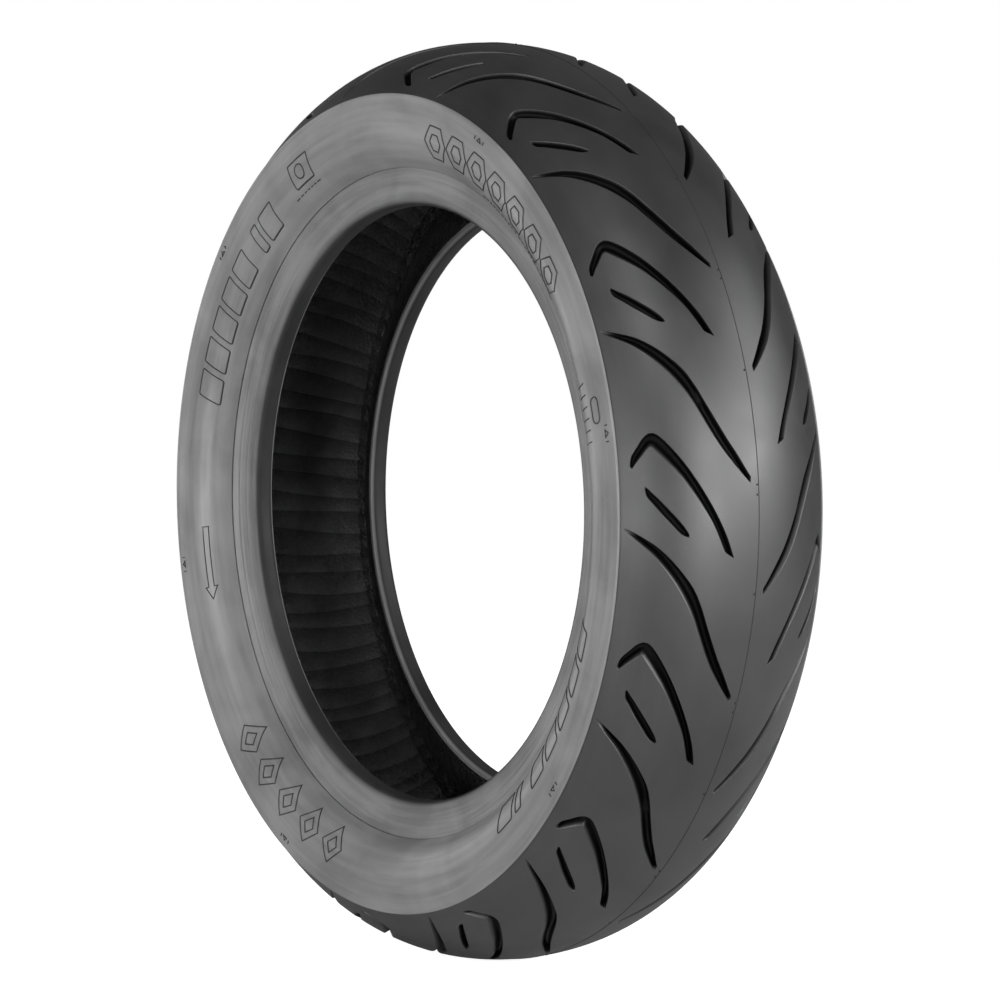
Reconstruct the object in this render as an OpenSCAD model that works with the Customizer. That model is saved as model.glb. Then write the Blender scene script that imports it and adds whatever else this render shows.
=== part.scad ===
// Scooter tyre, 14 inch, built in the layers a tyre factory lays up.
// Axis along Y, up along Z, origin at the centre of the tyre.

/* [Size] */
// Outer diameter over the tread
outer_diameter = 552; // [500:1:600]
// Rim seat diameter (14 inch rim)
rim_diameter = 355.6; // [350:0.1:360]
// Half width over the tread, from the middle to the shoulder edge
half_tread = 70; // [60:0.5:75]
// Drop of the tread from the middle to the shoulder edge
crown_drop = 33; // [25:0.5:40]

/* [Tread pattern] */
// Number of times the pattern repeats around the tyre
pitches = 14; // [10:1:20]
// Depth of the grooves in the middle of the tread
groove_depth = 5; // [3:0.1:6]
// Share of one repeat by which the far half is turned
half_shift = 0.5; // [0:0.05:1]

/* [Layers] */
// Thickness of the inner liner
liner_t = 1.3; // [1:0.1:2]
// Thickness of one body ply or breaker
ply_t = 1; // [0.6:0.1:1.4]

/* [Bead] */
// Wires across and up each bead core
wire_rows = 4; // [3:1:5]
// Diameter of one bead wire
wire_d = 1; // [0.8:0.05:1.05]

/* [View] */
// Facets around each turned shape
turn_fn = 180; // [60:12:360]

/* [Hidden] */
R = outer_diameter / 2;
seat = rim_diameter / 2;
pitch = 360 / pitches;

// Crown height at a distance y from the middle
function crown(y) = let (t = abs(y) / half_tread)
    R - (0.32 * t * t + 0.2 * pow(t, 4)) * crown_drop / 0.52;

// Stations on the inside of the tyre, from the middle to the bead
I = [[0, 261], [12, 260.5], [24, 258.8], [33.5, 255.6], [41.5, 252],
     [48.5, 247.2], [54.5, 242], [59.3, 237], [62.2, 232.5], [63.2, 228.5],
     [61.6, 223.5], [58.6, 218], [55, 213], [51.2, 208], [47.6, 203],
     [44.4, 198], [41.2, 192], [38.7, 186]];
// The station opposite each one, on the outside
O = [[0, R], [12.8, crown(12.8)], [25.8, crown(25.8)], [37, crown(37)],
     [46.5, crown(46.5)], [56, crown(56)], [63.5, crown(63.5)],
     [70, crown(70)], [71.4, 235], [71.5, 229], [71.1, 224], [69.5, 218],
     [67.1, 213], [63.8, 208], [58.5, 203], [53.3, 198], [51, 192],
     [50.2, 186]];
// Depth of the grooved layer at the tread stations
groove_at = [1, 1, 1, 0.98, 0.94, 0.88, 0.82, 0.72] * groove_depth;

function unit(v) = v / norm(v);
// Point d from the inside, and point e from the outside, at station k
function T(k, d) = I[k] + unit(O[k] - I[k]) * d;
function P(k, e) = O[k] - unit(O[k] - I[k]) * e;

// Distances of the layer limits from the inside
a = liner_t;
b = a + ply_t;
c = b + ply_t;
d = c + ply_t;
e = d + ply_t;

// Right half points repeated on the left, so a list runs across the tyre
function left_of(l) = [for (i = [len(l) - 1 : -1 : 0])
    if (l[i][0] != 0) [-l[i][0], l[i][1]]];
function across(l) = concat(left_of(l), l);
function back(l) = [for (i = [len(l) - 1 : -1 : 0]) l[i]];
function side(l, s) = [for (p = l) [s * p[0], p[1]]];

crown_line = [for (i = [0 : 14]) let (y = half_tread * i / 14) [y, crown(y)]];
groove_line = [for (k = [0 : 7]) P(k, groove_at[k])];

// Turns a section, given as distance along the axis and radius
module turn(pts) {
    rotate([90, 0, 0])
        rotate_extrude($fn = turn_fn)
            polygon([for (p = pts) [p[1], -p[0]]]);
}

// Outlines of the grooves in one repeat: turn in degrees, distance from
// the middle of the tread along the axis
long_groove = [[24.6, 69.3], [22.3, 61], [19.2, 49.5], [16.2, 37.6],
    [13.2, 32.2], [9.2, 26.3], [6.6, 19], [4.2, 5.4], [4.9, 6],
    [8.6, 18.3], [11.4, 23.1], [14.6, 28.2], [18, 34.4], [20.6, 44.6],
    [22.9, 54.5], [24.2, 62.4], [25.4, 69.3]];
hook_groove = [[6.3, 67.4], [10, 60.8], [10.2, 55.6], [8, 47.2],
    [3.4, 33.6], [-1.2, 23.4], [-4.6, 16.4], [-3.2, 21.6],
    [1.6, 33.8], [5.4, 43.6], [8.6, 54], [8.8, 57.6], [6.6, 64.2]];
dash_groove = [[4.2, 60.8], [2.8, 60.8], [-1.9, 41], [-0.8, 41]];

// One groove cutter, standing square to the tread at its own middle
module groove(pts, mid, s) {
    rotate([0, -mid, 0])
        translate([225, 0, 0])
            rotate([0, 90, 0])
                linear_extrude(60)
                    polygon([for (p = pts) let (t = p[0] - mid)
                        [-crown(p[1]) * sin(t), -s * p[1]]]);
}

module grooves() {
    for (i = [0 : pitches - 1], s = [1, -1]) {
        turn_by = (i + (s < 0 ? half_shift : 0)) * pitch;
        rotate([0, -turn_by, 0]) {
            groove(long_groove, 14, s);
            groove(hook_groove, 3, s);
            groove(dash_groove, 1, s);
        }
    }
}

module tread_cap() {
    color("#3a3b3d")
        difference() {
            turn(concat(across(crown_line), back(across(groove_line))));
            grooves();
        }
}

module tread_base() {
    color("#2a2b2c")
        turn(concat(across(concat(groove_line, [T(7, 8)])),
            back(across([T(0, e), T(1, e), T(2, e), T(3, e), T(4, e),
                T(4, d), T(5, d), T(6, 5.6)]))));
}

module breaker_upper() {
    color("#8a7446")
        turn(concat(across([for (k = [0 : 4]) T(k, e)]),
            back(across([for (k = [0 : 4]) T(k, d)]))));
}

module breaker_lower() {
    color("#a08a58")
        turn(concat(across([for (k = [0 : 5]) T(k, d)]),
            back(across([for (k = [0 : 5]) T(k, c)]))));
}

// Bead corners shared by the plies, the core and the cushion
core_in = T(17, c)[0];
core_w = 4.6;
core_bot = seat + 3.4;
core_top = 186;
loop_c = [[core_in, core_bot + 0.4], [core_in + 0.4, core_bot],
    [core_in + core_w - 0.4, core_bot], [core_in + core_w, core_bot + 0.4]];
loop_b = [[core_in - 1, core_bot + 0.1], [core_in - 0.1, core_bot - 0.9],
    [core_in + core_w - 0.1, core_bot - 0.9],
    [core_in + core_w + 1, core_bot + 0.6]];
loop_a = [[core_in - 2, core_bot], [core_in - 0.6, core_bot - 1.8],
    [core_in + core_w, core_bot - 1.8],
    [core_in + core_w + 2, core_bot + 0.9]];
// Turned-up side of the plies, from the core to the ends
up_c = [T(17, c + core_w), T(16, 5.7), T(15, 4.8), T(14, 4.2), T(13, c)];
up_b = [T(17, d + core_w), T(16, 6.7), T(15, 5.8), T(14, 5.2), T(13, d)];
up_a = [T(17, e + core_w), T(16, 7.7), T(15, 6.8), T(14, 6.2), T(13, e)];

// Space inside the wrapped plies, for one bead core and its filler
module ply_pocket(s) {
    polygon([for (p = side(concat([for (k = [13 : 17]) T(k, c)], loop_c,
        [up_c[0], up_c[1], up_c[2], up_c[3]]), s)) [p[1], -p[0]]]);
}

module body_ply_outer() {
    color("#c9b78a")
        rotate([90, 0, 0])
            rotate_extrude($fn = turn_fn)
                difference() {
                    polygon([for (p = concat(
                        across(concat([for (k = [0 : 17]) T(k, b)], loop_b,
                            up_b, [T(12, d), T(11, d)])),
                        back(across([for (k = [0 : 11]) T(k, c)]))))
                        [p[1], -p[0]]]);
                    ply_pocket(1);
                    ply_pocket(-1);
                }
}

module body_ply_inner() {
    color("#b5a274")
        turn(concat(
            across(concat([for (k = [0 : 17]) T(k, a)], loop_a, up_a,
                [T(12, e)])),
            back(across(concat([for (k = [0 : 17]) T(k, b)], loop_b, up_b,
                [T(12, d)])))));
}

toe_top = [loop_a[0][0], 182];
module inner_liner() {
    color("#161617")
        turn(concat(
            across(concat([for (k = [0 : 17]) I[k]], [[37.55, 182]])),
            back(across(concat([for (k = [0 : 17]) T(k, a)], [toe_top])))));
}

module sidewall(s) {
    color("#4a4b4d")
        turn(side(concat(
            [[70, crown(70)], [71, 242.4], [71.2, 240], [71.45, 236],
             [71.5, 232], [71.4, 228], [71, 224], [70.4, 221],
             [69.5, 218], [68.4, 215.3], [67.1, 213], [65.6, 210.4],
             [63.8, 208], [61.4, 205.4], [58.5, 203], [56.4, 201.4],
             [54.5, 200]],
            [T(14, 6.2), T(13, e), T(12, e), T(12, d), T(11, d),
             T(11, c), T(10, c), T(9, c), T(8, 5), T(7, 8),
             P(7, groove_at[7])]), s));
}
module sidewall_left() { sidewall(-1); }
module sidewall_right() { sidewall(1); }

module shoulder_wedge(s) {
    color("#303132")
        turn(side([T(5, d), T(6, 5.6), T(7, 8), T(8, 5), T(9, c),
            T(8, c), T(7, c), T(6, c), T(5, c)], s));
}
module shoulder_wedge_left() { shoulder_wedge(-1); }
module shoulder_wedge_right() { shoulder_wedge(1); }

module rim_cushion(s) {
    color("#232324")
        turn(side(concat(
            [[37.55, 182], [37.5, 180], [39.5, seat], [46, seat],
             [47.3, seat + 0.3], [48.6, seat + 1.4], [49.6, seat + 3.2],
             [50, seat + 5.2], [50.2, 186], [50.5, 189], [51, 192],
             [51.9, 195], [53.3, 198], [54.5, 200]],
            [up_a[3], up_a[2], up_a[1], up_a[0], loop_a[3], loop_a[2],
             loop_a[1], loop_a[0], toe_top]), s));
}
module rim_cushion_left() { rim_cushion(-1); }
module rim_cushion_right() { rim_cushion(1); }

module bead_filler(s) {
    color("#3f3a36")
        turn(side([T(17, c), T(16, c), T(15, c), T(14, c), T(13, c),
            up_c[3], up_c[2], up_c[1], up_c[0]], s));
}
module bead_filler_left() { bead_filler(-1); }
module bead_filler_right() { bead_filler(1); }

// Centres of the wires in one bead core
step_y = core_w / wire_rows;
step_r = (core_top - core_bot) / wire_rows;
function wire_y(i) = core_in + step_y * (i + 0.5);
function wire_r(j) = core_bot + step_r * (j + 0.5);

module bead_core(s) {
    color("#b9a066")
        for (i = [0 : wire_rows - 1], j = [0 : wire_rows - 1])
            rotate([90, 0, 0])
                rotate_extrude($fn = turn_fn)
                    translate([wire_r(j), -s * wire_y(i)])
                        circle(d = wire_d, $fn = 24);
}
module bead_core_left() { bead_core(-1); }
module bead_core_right() { bead_core(1); }

module bead_wrap(s) {
    color("#1f1f20")
        rotate([90, 0, 0])
            rotate_extrude($fn = turn_fn)
                difference() {
                    polygon([for (p = side(concat([T(17, c)], loop_c,
                        [T(17, c + core_w)]), s)) [p[1], -p[0]]]);
                    for (i = [0 : wire_rows - 1], j = [0 : wire_rows - 1])
                        translate([wire_r(j), -s * wire_y(i)])
                            circle(d = wire_d, $fn = 24);
                }
}
module bead_wrap_left() { bead_wrap(-1); }
module bead_wrap_right() { bead_wrap(1); }

tread_cap();
tread_base();
breaker_upper();
breaker_lower();
body_ply_outer();
body_ply_inner();
inner_liner();
sidewall_left();
sidewall_right();
shoulder_wedge_left();
shoulder_wedge_right();
rim_cushion_left();
rim_cushion_right();
bead_filler_left();
bead_filler_right();
bead_wrap_left();
bead_wrap_right();
bead_core_left();
bead_core_right();
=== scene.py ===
# %% [markdown]
# # A scooter tyre
# The CAD model holds every layer of this tyre, from the bead wires to the tread.
# Here its outside is given the look of moulded rubber. The frame is loaded first,
# because every new piece is built in the same place as the CAD part it stands for.

# %% Load the frame
import math

import bpy
import numpy as np
from mathutils import Matrix, Vector
from mathutils.geometry import delaunay_2d_cdt


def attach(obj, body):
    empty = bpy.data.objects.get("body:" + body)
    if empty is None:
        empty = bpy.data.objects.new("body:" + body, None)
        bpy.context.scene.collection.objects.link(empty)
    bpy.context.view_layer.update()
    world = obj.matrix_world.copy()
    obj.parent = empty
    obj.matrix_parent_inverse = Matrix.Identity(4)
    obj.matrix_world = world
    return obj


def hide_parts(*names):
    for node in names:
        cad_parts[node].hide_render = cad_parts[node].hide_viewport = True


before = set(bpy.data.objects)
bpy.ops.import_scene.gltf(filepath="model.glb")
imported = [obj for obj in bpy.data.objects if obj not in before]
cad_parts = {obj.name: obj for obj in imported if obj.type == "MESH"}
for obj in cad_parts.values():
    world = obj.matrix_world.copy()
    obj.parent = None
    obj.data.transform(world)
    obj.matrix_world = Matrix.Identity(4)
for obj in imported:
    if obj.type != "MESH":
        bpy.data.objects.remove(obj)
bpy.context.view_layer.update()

# %% [markdown]
# The tread is a curved band. Its height at each distance from the middle comes
# from one formula, the same as in the CAD, so the rubber meets the layers below.
# Distances are in millimetres until a mesh is made.

# %% The crown of the tread
TREAD_RADIUS = 276.0
HALF_TREAD = 70.0
CROWN_DROP = 33.0
# The drop grows with the square and the fourth power of the distance
SQUARE_SHARE = 0.32
FOURTH_SHARE = 0.2
DROP_SCALE = CROWN_DROP / (SQUARE_SHARE + FOURTH_SHARE)


def crown(y):
    """Radius of the tread at the distance y from the middle of the tyre."""
    t = np.abs(y) / HALF_TREAD
    return TREAD_RADIUS - (SQUARE_SHARE * t**2 + FOURTH_SHARE * t**4) * DROP_SCALE


def crown_normal(y):
    """Direction square to the tread: its part along the axis and outwards."""
    t = np.abs(y) / HALF_TREAD
    fall = (2 * SQUARE_SHARE * t + 4 * FOURTH_SHARE * t**3) / HALF_TREAD * DROP_SCALE
    size = np.sqrt(1 + fall**2)
    return np.sign(y) * fall / size, 1 / size


table_y = np.linspace(0, HALF_TREAD, 1401)
table_arc = np.concatenate(
    [[0], np.cumsum(np.hypot(np.diff(table_y), np.diff(crown(table_y))))]
)
ARC_HALF = float(table_arc[-1])


def tread_point(x, arc, depth, side):
    """Places a point of the flat tread pattern on the crown, in metres.

    x runs around the tyre, arc from the middle to the shoulder."""
    y = np.interp(arc, table_arc, table_y)
    along, out = crown_normal(y)
    radius = crown(y) - depth * out
    turn = x / TREAD_RADIUS
    return np.stack(
        [radius * np.cos(turn), side * (y - depth * along), radius * np.sin(turn)], -1
    ) / 1000


print("Width of the tread along its curve:", round(2 * ARC_HALF, 1), "mm")

# %% [markdown]
# The tread pattern repeats fourteen times. Each repeat has a long S-shaped groove,
# a hooked one and a short dash. A groove is given by its two edges, as pairs of
# points: turn in degrees and distance from the middle.

# %% One repeat of the pattern
REPEATS = 14
DEGREE = math.tau / 360 * TREAD_RADIUS   # one degree along the tread, in mm
REPEAT = TREAD_RADIUS * math.tau / REPEATS

LONG_GROOVE = (
    [(24.75, 79.6), (23.8, 74.5), (22.6, 67.5), (21.5, 61.8), (20.0, 55.5), (18.2, 48.8),
     (16.1, 42.3), (14.1, 36.8), (12.1, 32.3), (10.0, 27.3), (8.1, 21.8), (6.4, 15.4),
     (5.1, 9.9), (4.1, 5.2)],
    [(24.95, 79.5), (24.4, 73.8), (23.5, 66.3), (22.6, 59.7), (21.3, 52.6), (19.7, 45.4),
     (17.8, 38.2), (15.8, 33.1), (13.5, 28.3), (11.2, 23.0), (9.3, 18.1), (7.7, 13.3),
     (6.2, 8.9), (4.9, 4.9)],
)
HOOK_GROOVE = (
    [(6.45, 72.9), (7.2, 70.2), (8.0, 66.8), (8.75, 63.6), (8.95, 61.6), (8.4, 59.6),
     (6.9, 53.5), (5.1, 46.2), (3.3, 40.2), (1.6, 34.8), (-0.3, 29.2), (-2.1, 25.1),
     (-3.65, 21.7)],
    [(6.75, 74.2), (8.0, 73.2), (9.2, 69.4), (10.3, 65.4), (10.75, 61.6), (10.4, 57.4),
     (8.9, 51.2), (6.9, 44.3), (4.7, 37.6), (2.6, 31.6), (0.3, 25.5), (-2.0, 20.1),
     (-4.4, 15.6)],
)
DASH_GROOVE = (
    [(4.1, 66.7), (3.0, 65.9), (2.1, 62.6), (0.8, 57.6), (-0.45, 52.2), (-1.55, 47.0),
     (-1.95, 42.6)],
    [(4.2, 65.9), (3.55, 62.9), (2.7, 59.0), (1.4, 53.4), (0.1, 47.9), (-0.95, 44.0),
     (-1.75, 42.0)],
)
# How far across a groove each point of its section is, and how deep
SLOPED = ([0, 0.03, 0.08, 0.16, 0.30, 0.44, 0.54, 0.62, 0.76, 0.88, 0.94, 0.975, 1],
          [0, 0.015, 0.06, 0.20, 0.50, 0.80, 0.94, 1, 1, 0.93, 0.50, 0.09, 0])
STEEP = ([0, 0.04, 0.09, 0.15, 0.22, 0.31, 0.5, 0.69, 0.78, 0.85, 0.91, 0.96, 1],
         [0, 0.03, 0.16, 0.5, 0.88, 0.99, 1, 0.99, 0.88, 0.5, 0.16, 0.03, 0])
# Depth of the groove floor at some distances from the middle
FLOOR_AT = [0, 26.3, 38.4, 49.5, 61.6, 72.0, 80.6]
FLOOR = [4.8, 4.8, 4.65, 4.45, 4.15, 3.85, 3.4]
print("One repeat is", round(REPEAT, 1), "mm long")

# %% [markdown]
# A smooth curve is drawn through each edge of a groove. The ground between the
# two edges is sunk by the groove's section, and rises again at its ends. A grid
# of points suits this better than a cut, as the slopes stay smooth.

# %% Sink the grooves
MIDDLE_COLUMN = 6    # place in a section whose distance sets the floor's depth
DEEPEST = 1.3        # a groove is never deeper than this share of its width
# Rows lie close together at each end of a groove, and evenly between
TIP_ROWS = np.array([0, 0.2, 0.45, 0.75, 1.15])
TIP_LENGTH = 2
EDGE_SAMPLES = 600


def gone_along(points):
    """How far along a line each of its points is."""
    steps = np.linalg.norm(np.diff(points, axis=0), axis=1)
    return np.concatenate([[0], np.cumsum(steps)])


def smooth_line(points, at):
    """A smooth curve through the points, read at the places at (0 is the first)."""
    p = np.vstack([2 * points[0] - points[1], points, 2 * points[-1] - points[-2]])
    i = np.clip(np.floor(at).astype(int), 0, len(points) - 2)
    u = (at - i)[:, None]
    a, b, c, d = p[i], p[i + 1], p[i + 2], p[i + 3]
    return 0.5 * (2 * b + (c - a) * u + (2 * a - 5 * b + 4 * c - d) * u**2
                  + (3 * b - a - 3 * c + d) * u**3)


def smooth_edge(points, at):
    """One edge of a groove, in millimetres, read at the places at."""
    return smooth_line(np.array(points, float) * [DEGREE, 1], at)


def ease(u):
    """Rises from 0 to 1 with no corner at either end."""
    u = np.clip(u, 0, 1)
    return u * u * (3 - 2 * u)


def sink_groove(edges, section, spacing, start, end):
    """Grid of x, arc and depth over one groove, and how far along each row is."""
    fine = np.linspace(0, len(edges[0]) - 1, EDGE_SAMPLES)
    middle = (smooth_edge(edges[0], fine) + smooth_edge(edges[1], fine)) / 2
    gone = gone_along(middle)
    length = gone[-1]
    count = int((length - 2 * TIP_LENGTH) / spacing)
    even = np.linspace(TIP_LENGTH, length - TIP_LENGTH, count)
    rows = np.concatenate([TIP_ROWS, even, length - TIP_ROWS[::-1]])
    at = np.interp(rows, gone, fine)
    left, right = smooth_edge(edges[0], at), smooth_edge(edges[1], at)
    across = np.array(section[0])[None, :, None]
    ground = left[:, None] * (1 - across) + right[:, None] * across
    width = np.linalg.norm(left - right, axis=1)
    floor = np.interp(ground[:, MIDDLE_COLUMN, 1], FLOOR_AT, FLOOR)
    floor = np.minimum(floor, DEEPEST * width)
    floor = floor * ease(rows / start) * ease((length - rows) / end)
    depth = floor[:, None] * np.array(section[1])[None, :]
    return np.concatenate([ground, depth[..., None]], -1), rows


grooves = [
    sink_groove(LONG_GROOVE, SLOPED, 2.0, start=16, end=1.6),
    sink_groove(HOOK_GROOVE, SLOPED, 1.9, start=1.6, end=1.6),
    sink_groove(DASH_GROOVE, STEEP, 2.0, start=1.3, end=1.3),
]
print("Rows of points in each groove:", [len(rows) for _, rows in grooves])

# %% [markdown]
# Between the grooves lies the smooth land. It is cut into triangles by a
# constrained Delaunay mesh, which keeps every groove's outline as an edge. One
# repeat has a slanted side, so that no groove crosses into the next.

# %% The land of one repeat
SIDE_LINE = [(0, 8.5), (5, 9.5), (10, 11), (15.4, 13.5), (21.6, 15.5), (28, 18), (34, 20),
             (42, 21.3), (47, 22.1), (52, 23.2), (57.7, 24.4), (62.7, 25.4), (67, 26.3),
             (74, 27.2), (ARC_HALF, 28)]
ACROSS = 28             # steps around the tyre in one repeat
UP = 24                 # steps from the middle to the shoulder
SPOT_SPAN = (-60, 140)  # the inner points cover this much of the tread, in mm
SPOT_STEP = (4.4, 3.8)  # and stand this far apart, in staggered rows
SPOT_CLEAR = 2.1        # and this far from every outline
FLAT_AREA = 1e-4        # triangles smaller than this, in mm2, are left out


def side_line(arc):
    """Where the slanted side of a repeat is, in mm around the tyre."""
    return np.interp(arc, *np.array(SIDE_LINE).T) * DEGREE


def outline_of(grid):
    """The edge of a groove's grid, once round."""
    sides = [grid[:, 0], grid[-1, 1:], grid[-2::-1, -1], grid[0, -2:0:-1]]
    return np.vstack(sides)[:, :2]


def inside(points, loop):
    """Which points lie inside a closed outline."""
    x, y = points[:, 0][:, None], points[:, 1][:, None]
    a, b = loop, np.roll(loop, -1, axis=0)
    spans = (a[:, 1] > y) != (b[:, 1] > y)
    rise = np.where(b[:, 1] == a[:, 1], 1, b[:, 1] - a[:, 1])
    cut = a[:, 0] + (y - a[:, 1]) / rise * (b[:, 0] - a[:, 0])
    return np.count_nonzero(spans & (x < cut), axis=1) % 2 == 1


def make_land():
    """Points and triangles of the land, with holes where the grooves are."""
    arc = np.linspace(0, ARC_HALF, UP + 1)
    line = side_line(arc)
    right = np.stack([line, arc], 1)
    left = right - [REPEAT, 0]
    steps = np.linspace(0, REPEAT, ACROSS + 1)[1:-1]
    base = np.stack([left[0, 0] + steps, 0 * steps], 1)
    top = np.stack([left[-1, 0] + steps, 0 * steps + ARC_HALF], 1)
    rim = np.vstack([left[0], base, right, top[::-1], left[:0:-1]])
    outlines = [outline_of(grid) for grid, _ in grooves]
    loops = [rim] + outlines
    half_step = SPOT_STEP[0] / 2
    gx, gy = np.meshgrid(np.arange(*SPOT_SPAN, SPOT_STEP[0]),
                         np.arange(half_step, ARC_HALF, SPOT_STEP[1]))
    gx = gx + half_step * (np.arange(len(gx)) % 2)[:, None]
    spots = np.stack([gx.ravel(), gy.ravel()], 1)
    keep = inside(spots, rim)
    for loop in outlines:
        keep &= ~inside(spots, loop)
    known = np.vstack(loops)
    near = np.linalg.norm(spots[:, None] - known[None], axis=2).min(axis=1)
    spots = spots[keep & (near > SPOT_CLEAR)]
    edges, start = [], 0
    for loop in loops:
        n = len(loop)
        edges += [(start + i, start + (i + 1) % n) for i in range(n)]
        start += n
    every = np.vstack([known, spots]).tolist()
    made = delaunay_2d_cdt(every, edges, [], 0, 1e-6, False)
    points = np.array([tuple(p) for p in made[0]])
    tris = np.array([tuple(f) for f in made[2]])
    one, two, three = points[tris].transpose(1, 0, 2)
    centre = (one + two + three) / 3
    area = np.abs(np.cross(two - one, three - one)) / 2
    keep = inside(centre, rim) & (area > FLAT_AREA)
    for loop in outlines:
        keep &= ~inside(centre, loop)
    return points, tris[keep]


land_points, land_tris = make_land()
print("Land of one repeat:", len(land_points), "points,", len(land_tris), "triangles")

# %% [markdown]
# The far half of the tread is the near half mirrored and turned by half a repeat.
# Some long grooves get a wear bar, a low step across the floor that shows when
# the tread is worn. Below the grooves a smooth underside closes the piece.

# %% The whole tread
WEAR_BAR_AT = 71.0   # distance along the long groove
WEAR_BAR_STEP = 1.6
WEAR_BAR_HALF = 4.2  # half its length, with the slopes at its ends
WEAR_BAR_SLOPE = 1.4
WEAR_BAR_REPEATS = (0, 2, 5, 7, 9, 12)
UNDER_ROWS = 25      # rows of the underside, from shoulder to shoulder
UNDER_GAP = 0.12     # how far it lies below the groove floors


def tread_mesh():
    """All the corners and faces of the tread, in metres."""
    corners, faces, start = [], [], 0

    def add(points, new):
        nonlocal start
        corners.append(points)
        faces.extend((np.asarray(new) + start).tolist())
        start += len(points)

    def grid_faces(rows, columns):
        i = np.arange(rows - 1)[:, None] * columns + np.arange(columns - 1)
        return np.stack([i, i + 1, i + columns + 1, i + columns], -1).reshape(-1, 4)

    for side, shift in ((-1, 0.0), (1, -0.5)):
        for k in range(REPEATS):
            turn = (k + shift) * REPEAT
            land = tread_point(land_points[:, 0] + turn, land_points[:, 1],
                               0 * land_points[:, 0], side)
            add(land, land_tris)
            for which, (grid, rows) in enumerate(grooves):
                depth = grid[..., 2]
                if which == 0 and k in WEAR_BAR_REPEATS:
                    away = np.abs(rows - WEAR_BAR_AT)
                    bar = ease((WEAR_BAR_HALF - away) / WEAR_BAR_SLOPE)
                    top = np.interp(grid[:, MIDDLE_COLUMN, 1], FLOOR_AT, FLOOR)
                    depth = np.minimum(depth, (top - WEAR_BAR_STEP * bar)[:, None])
                sunk = tread_point(grid[..., 0] + turn, grid[..., 1], depth, side)
                add(sunk.reshape(-1, 3), grid_faces(*depth.shape))
    # The underside, and the two edges that join it to the land
    x = side_line(ARC_HALF) + np.arange(REPEATS * ACROSS + 1) * REPEAT / ACROSS
    arc = np.linspace(-ARC_HALF, ARC_HALF, UNDER_ROWS)
    under = [tread_point(x, 0 * x + abs(a), np.interp(abs(a), FLOOR_AT, FLOOR) + UNDER_GAP,
                         -1 if a < 0 else 1) for a in arc]
    rim = [tread_point(x, 0 * x + ARC_HALF, 0 * x, side) for side in (-1, 1)]
    shell = np.array([rim[0]] + under + [rim[1]])
    add(shell.reshape(-1, 3), grid_faces(*shell.shape[:2]))
    return np.vstack(corners), faces


def show(obj):
    """Leaves only this object selected and active."""
    bpy.ops.object.select_all(action="DESELECT")
    obj.select_set(True)
    bpy.context.view_layer.objects.active = obj


def close_up(obj, gap=4e-6):
    """Joins points that lie together and turns every face outwards."""
    show(obj)
    bpy.ops.object.mode_set(mode="EDIT")
    bpy.ops.mesh.select_all(action="SELECT")
    bpy.ops.mesh.remove_doubles(threshold=gap)
    bpy.ops.mesh.normals_make_consistent(inside=False)
    bpy.ops.object.mode_set(mode="OBJECT")
    edges = {}
    for polygon in obj.data.polygons:
        for key in polygon.edge_keys:
            edges[key] = edges.get(key, 0) + 1
    loose = sum(1 for n in edges.values() if n != 2)
    print(obj.name, len(obj.data.vertices), "points,", loose, "open edges")


def from_lists(name, corners, faces):
    """A new object from lists of corners and faces."""
    mesh = bpy.data.meshes.new(name)
    mesh.from_pydata(np.asarray(corners).tolist(), [], faces)
    obj = bpy.data.objects.new(name, mesh)
    bpy.context.collection.objects.link(obj)
    return obj


tread = from_lists("tread", *tread_mesh())
close_up(tread)

# %% [markdown]
# The land has large and small triangles side by side, and smooth shading would
# show the difference near each groove. So each point of the land is told the
# true direction of the curved crown, and only the grooves keep their own.

# %% Shade the tread
LAND_CLOSE = 0.004   # a point this near the crown, in mm, belongs to the land
FULL_SHADE_DEPTH = 2.2     # depth in mm at which a groove's painted shade is full


def shade_tread(obj):
    """Smooth shading that follows the crown exactly on the land."""
    mesh = obj.data
    mesh.polygons.foreach_set("use_smooth", [True] * len(mesh.polygons))
    count = len(mesh.vertices)
    co = np.empty(count * 3)
    mesh.vertices.foreach_get("co", co)
    co = co.reshape(-1, 3) * 1000
    own = np.empty(count * 3, np.float32)
    mesh.vertex_normals.foreach_get("vector", own)
    own = own.reshape(-1, 3).astype(float)
    radius = np.hypot(co[:, 0], co[:, 2])
    on_land = np.abs(radius - crown(co[:, 1])) < LAND_CLOSE
    along, out = crown_normal(co[:, 1])
    true = np.stack([out * co[:, 0] / radius, along, out * co[:, 2] / radius], 1)
    own[on_land] = true[on_land]
    mesh.normals_split_custom_set_from_vertices(own.tolist())
    # Painted shade: the depth below the crown, kept in the attribute sunk, darkens a groove
    depth = np.clip((crown(co[:, 1]) - radius) * out / FULL_SHADE_DEPTH, 0, 1)
    sunk = mesh.attributes.new("sunk", "FLOAT", "POINT")
    sunk.data.foreach_set("value", depth.astype(np.float32))
    print("Land points with the crown's own direction:", int(on_land.sum()))


shade_tread(tread)
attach(tread, "root")
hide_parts("tread_cap")

# %% [markdown]
# Sidewalls, beads and liner are the same all the way round, so each one is a
# section spun about the tyre's axis. The section starts as a circle whose points
# are moved onto the outline, and the spin tool sweeps it round.

# %% Spin a section
TURNS = 360
SHARP = 38   # edges that turn by more than this, in degrees, stay sharp


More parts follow.
